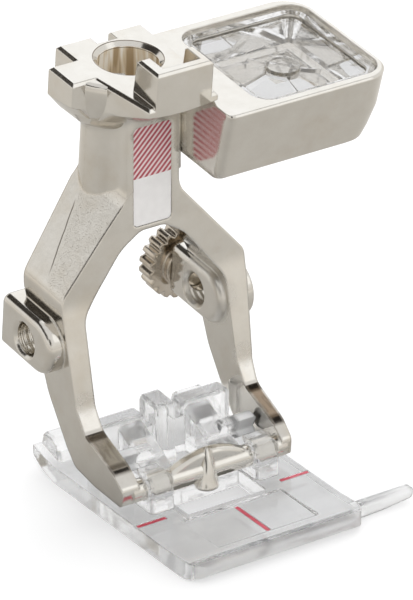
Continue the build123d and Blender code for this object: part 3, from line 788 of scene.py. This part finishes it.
fillet_round = ellipse(FILLET_CENTRE, (FILLET_R, FILLET_R), FILLET_ARC, FILLET_STEPS)
fillet_outline = [
    (FILLET_LEFT, FILLET_REAR),
    (FILLET_LEFT, fillet_round[0][1]),
    *fillet_round,
    (fillet_round[-1][0], FILLET_REAR),
]
upright_piece("arm_root_fillet", fillet_outline, FILLET_LOW, FILLET_TOP)


def floor_white():
    mat, tree, shader = new_material("floor_white")
    # painted sheen: the floor's tone for the metal rises away from the object
    away = fade_in(tree, distance(tree, spot(tree), (0.0, 0.0, 0.0)), *FLOOR_SHEEN_RANGE)
    near_tone = tuple(FLOOR_TONE * part for part in FLOOR_WARMTH)
    plug(tree, shader.inputs["Base Color"], mix_colour(tree, away, near_tone, FLOOR_FAR_SHEEN))
    shader.inputs["Roughness"].default_value = FLOOR_ROUGH
    # the eye, straight or through the plastic, sees a plain floor lifted to white; through the
    # plastic the lift fades out away from the sole, which paints shade on the far floor
    path = add(tree, "ShaderNodeLightPath")
    inside = inside_plastic(tree, path)
    far_off = distance(tree, spot(tree), FLOOR_GLOW_CENTRE)
    shaded_inside_glow = map_range(tree, far_off, *FLOOR_GLOW_SHADE_RANGE, FLOOR_GLOW_INSIDE, 0.0, True)
    glow = add(tree, "ShaderNodeEmission")
    strength = map_range(tree, inside, 0.0, 1.0, FLOOR_GLOW, shaded_inside_glow)
    plug(tree, glow.inputs["Strength"], strength)
    diffuse = add(tree, "ShaderNodeBsdfDiffuse")
    diffuse.inputs["Color"].default_value = (FLOOR_TONE, FLOOR_TONE, FLOOR_TONE, 1)
    lifted = add(tree, "ShaderNodeAddShader")
    tree.links.new(diffuse.outputs[0], lifted.inputs[0])
    tree.links.new(glow.outputs[0], lifted.inputs[1])
    mix_surface(tree, either(tree, path.outputs["Is Camera Ray"], inside), shader, lifted)
    return mat


floor_mesh = bpy.data.meshes.new("floor")
floor_corners = [
    (x * FLOOR_REACH, y * FLOOR_REACH, 0) for x, y in ((-1, -1), (1, -1), (1, 1), (-1, 1))
]
floor_mesh.from_pydata(floor_corners, [], [(0, 1, 2, 3)])
floor_mesh.materials.append(floor_white())
floor = bpy.data.objects.new("floor", floor_mesh)
bpy.context.scene.collection.objects.link(floor)
floor.location.z = FLOOR_Z - FLOOR_GAP


def toward(azimuth, elevation):
    """Direction in the room, azimuth from +Y (back) towards +X (right), in degrees."""
    a, e = math.radians(azimuth), math.radians(elevation)
    return (math.sin(a) * math.cos(e), math.cos(a) * math.cos(e), math.sin(e))


def studio():
    world = bpy.data.worlds.new("studio")
    world.use_nodes = True
    tree = world.node_tree
    ray = add(tree, "ShaderNodeTexCoord").outputs["Generated"]
    height = math_node(tree, "MULTIPLY_ADD", dot(tree, ray, UP), 0.5, 0.5)
    colour = ramp(tree, height, ROOM_TONES)
    for azimuth, elevation, inner, outer, tone in PANELS:
        nearness = dot(tree, ray, toward(azimuth, elevation))
        rim, core = math.cos(math.radians(outer)), math.cos(math.radians(inner))
        colour = mix_colour(tree, fade_in(tree, nearness, rim, core), colour, tone)
    even = map_range(tree, dot(tree, ray, toward(*EVEN_TOWARD)), -1.0, 1.0, *EVEN_TONES)
    pale = add(tree, "ShaderNodeCombineColor")
    for socket in pale.inputs:
        tree.links.new(even, socket)
    inside = inside_plastic(tree, add(tree, "ShaderNodeLightPath"))
    colour = mix_colour(tree, inside, colour, pale.outputs[0])
    background = tree.nodes["Background"]
    tree.links.new(colour, background.inputs["Color"])
    background.inputs["Strength"].default_value = 1.0
    return world


bpy.context.scene.world = studio()

for name, place, energy in LAMPS:
    lamp_data = bpy.data.lights.new(name, "AREA")
    lamp_data.shape = "DISK"
    lamp_data.size = LAMP_SIZE
    lamp_data.energy = energy
    lamp = bpy.data.objects.new(name, lamp_data)
    lamp.location = place
    lamp.rotation_mode = "QUATERNION"
    lamp.rotation_quaternion = (LAMP_AIM - lamp.location).to_track_quat("-Z", "Y")
    lamp.visible_glossy = False
    lamp.visible_transmission = False
    bpy.context.scene.collection.objects.link(lamp)

camera_data = bpy.data.cameras.new("camera")
camera_data.lens = CAMERA_LENS
camera_data.sensor_width = CAMERA_SENSOR
camera_data.clip_start, camera_data.clip_end = CAMERA_CLIP
camera = bpy.data.objects.new("camera", camera_data)
camera.location = CAMERA_PLACE
camera.rotation_mode = "QUATERNION"
sight = Vector(toward(-CAMERA_AZIMUTH, -CAMERA_ELEVATION))
camera.rotation_quaternion = sight.to_track_quat("-Z", "Y")
bpy.context.scene.collection.objects.link(camera)
bpy.context.scene.camera = camera

cycles = bpy.context.scene.cycles
cycles.caustics_reflective = False
cycles.caustics_refractive = False
cycles.max_bounces = 24
cycles.glossy_bounces = 16
cycles.transmission_bounces = 20
bpy.context.scene.view_settings.view_transform = "Standard"
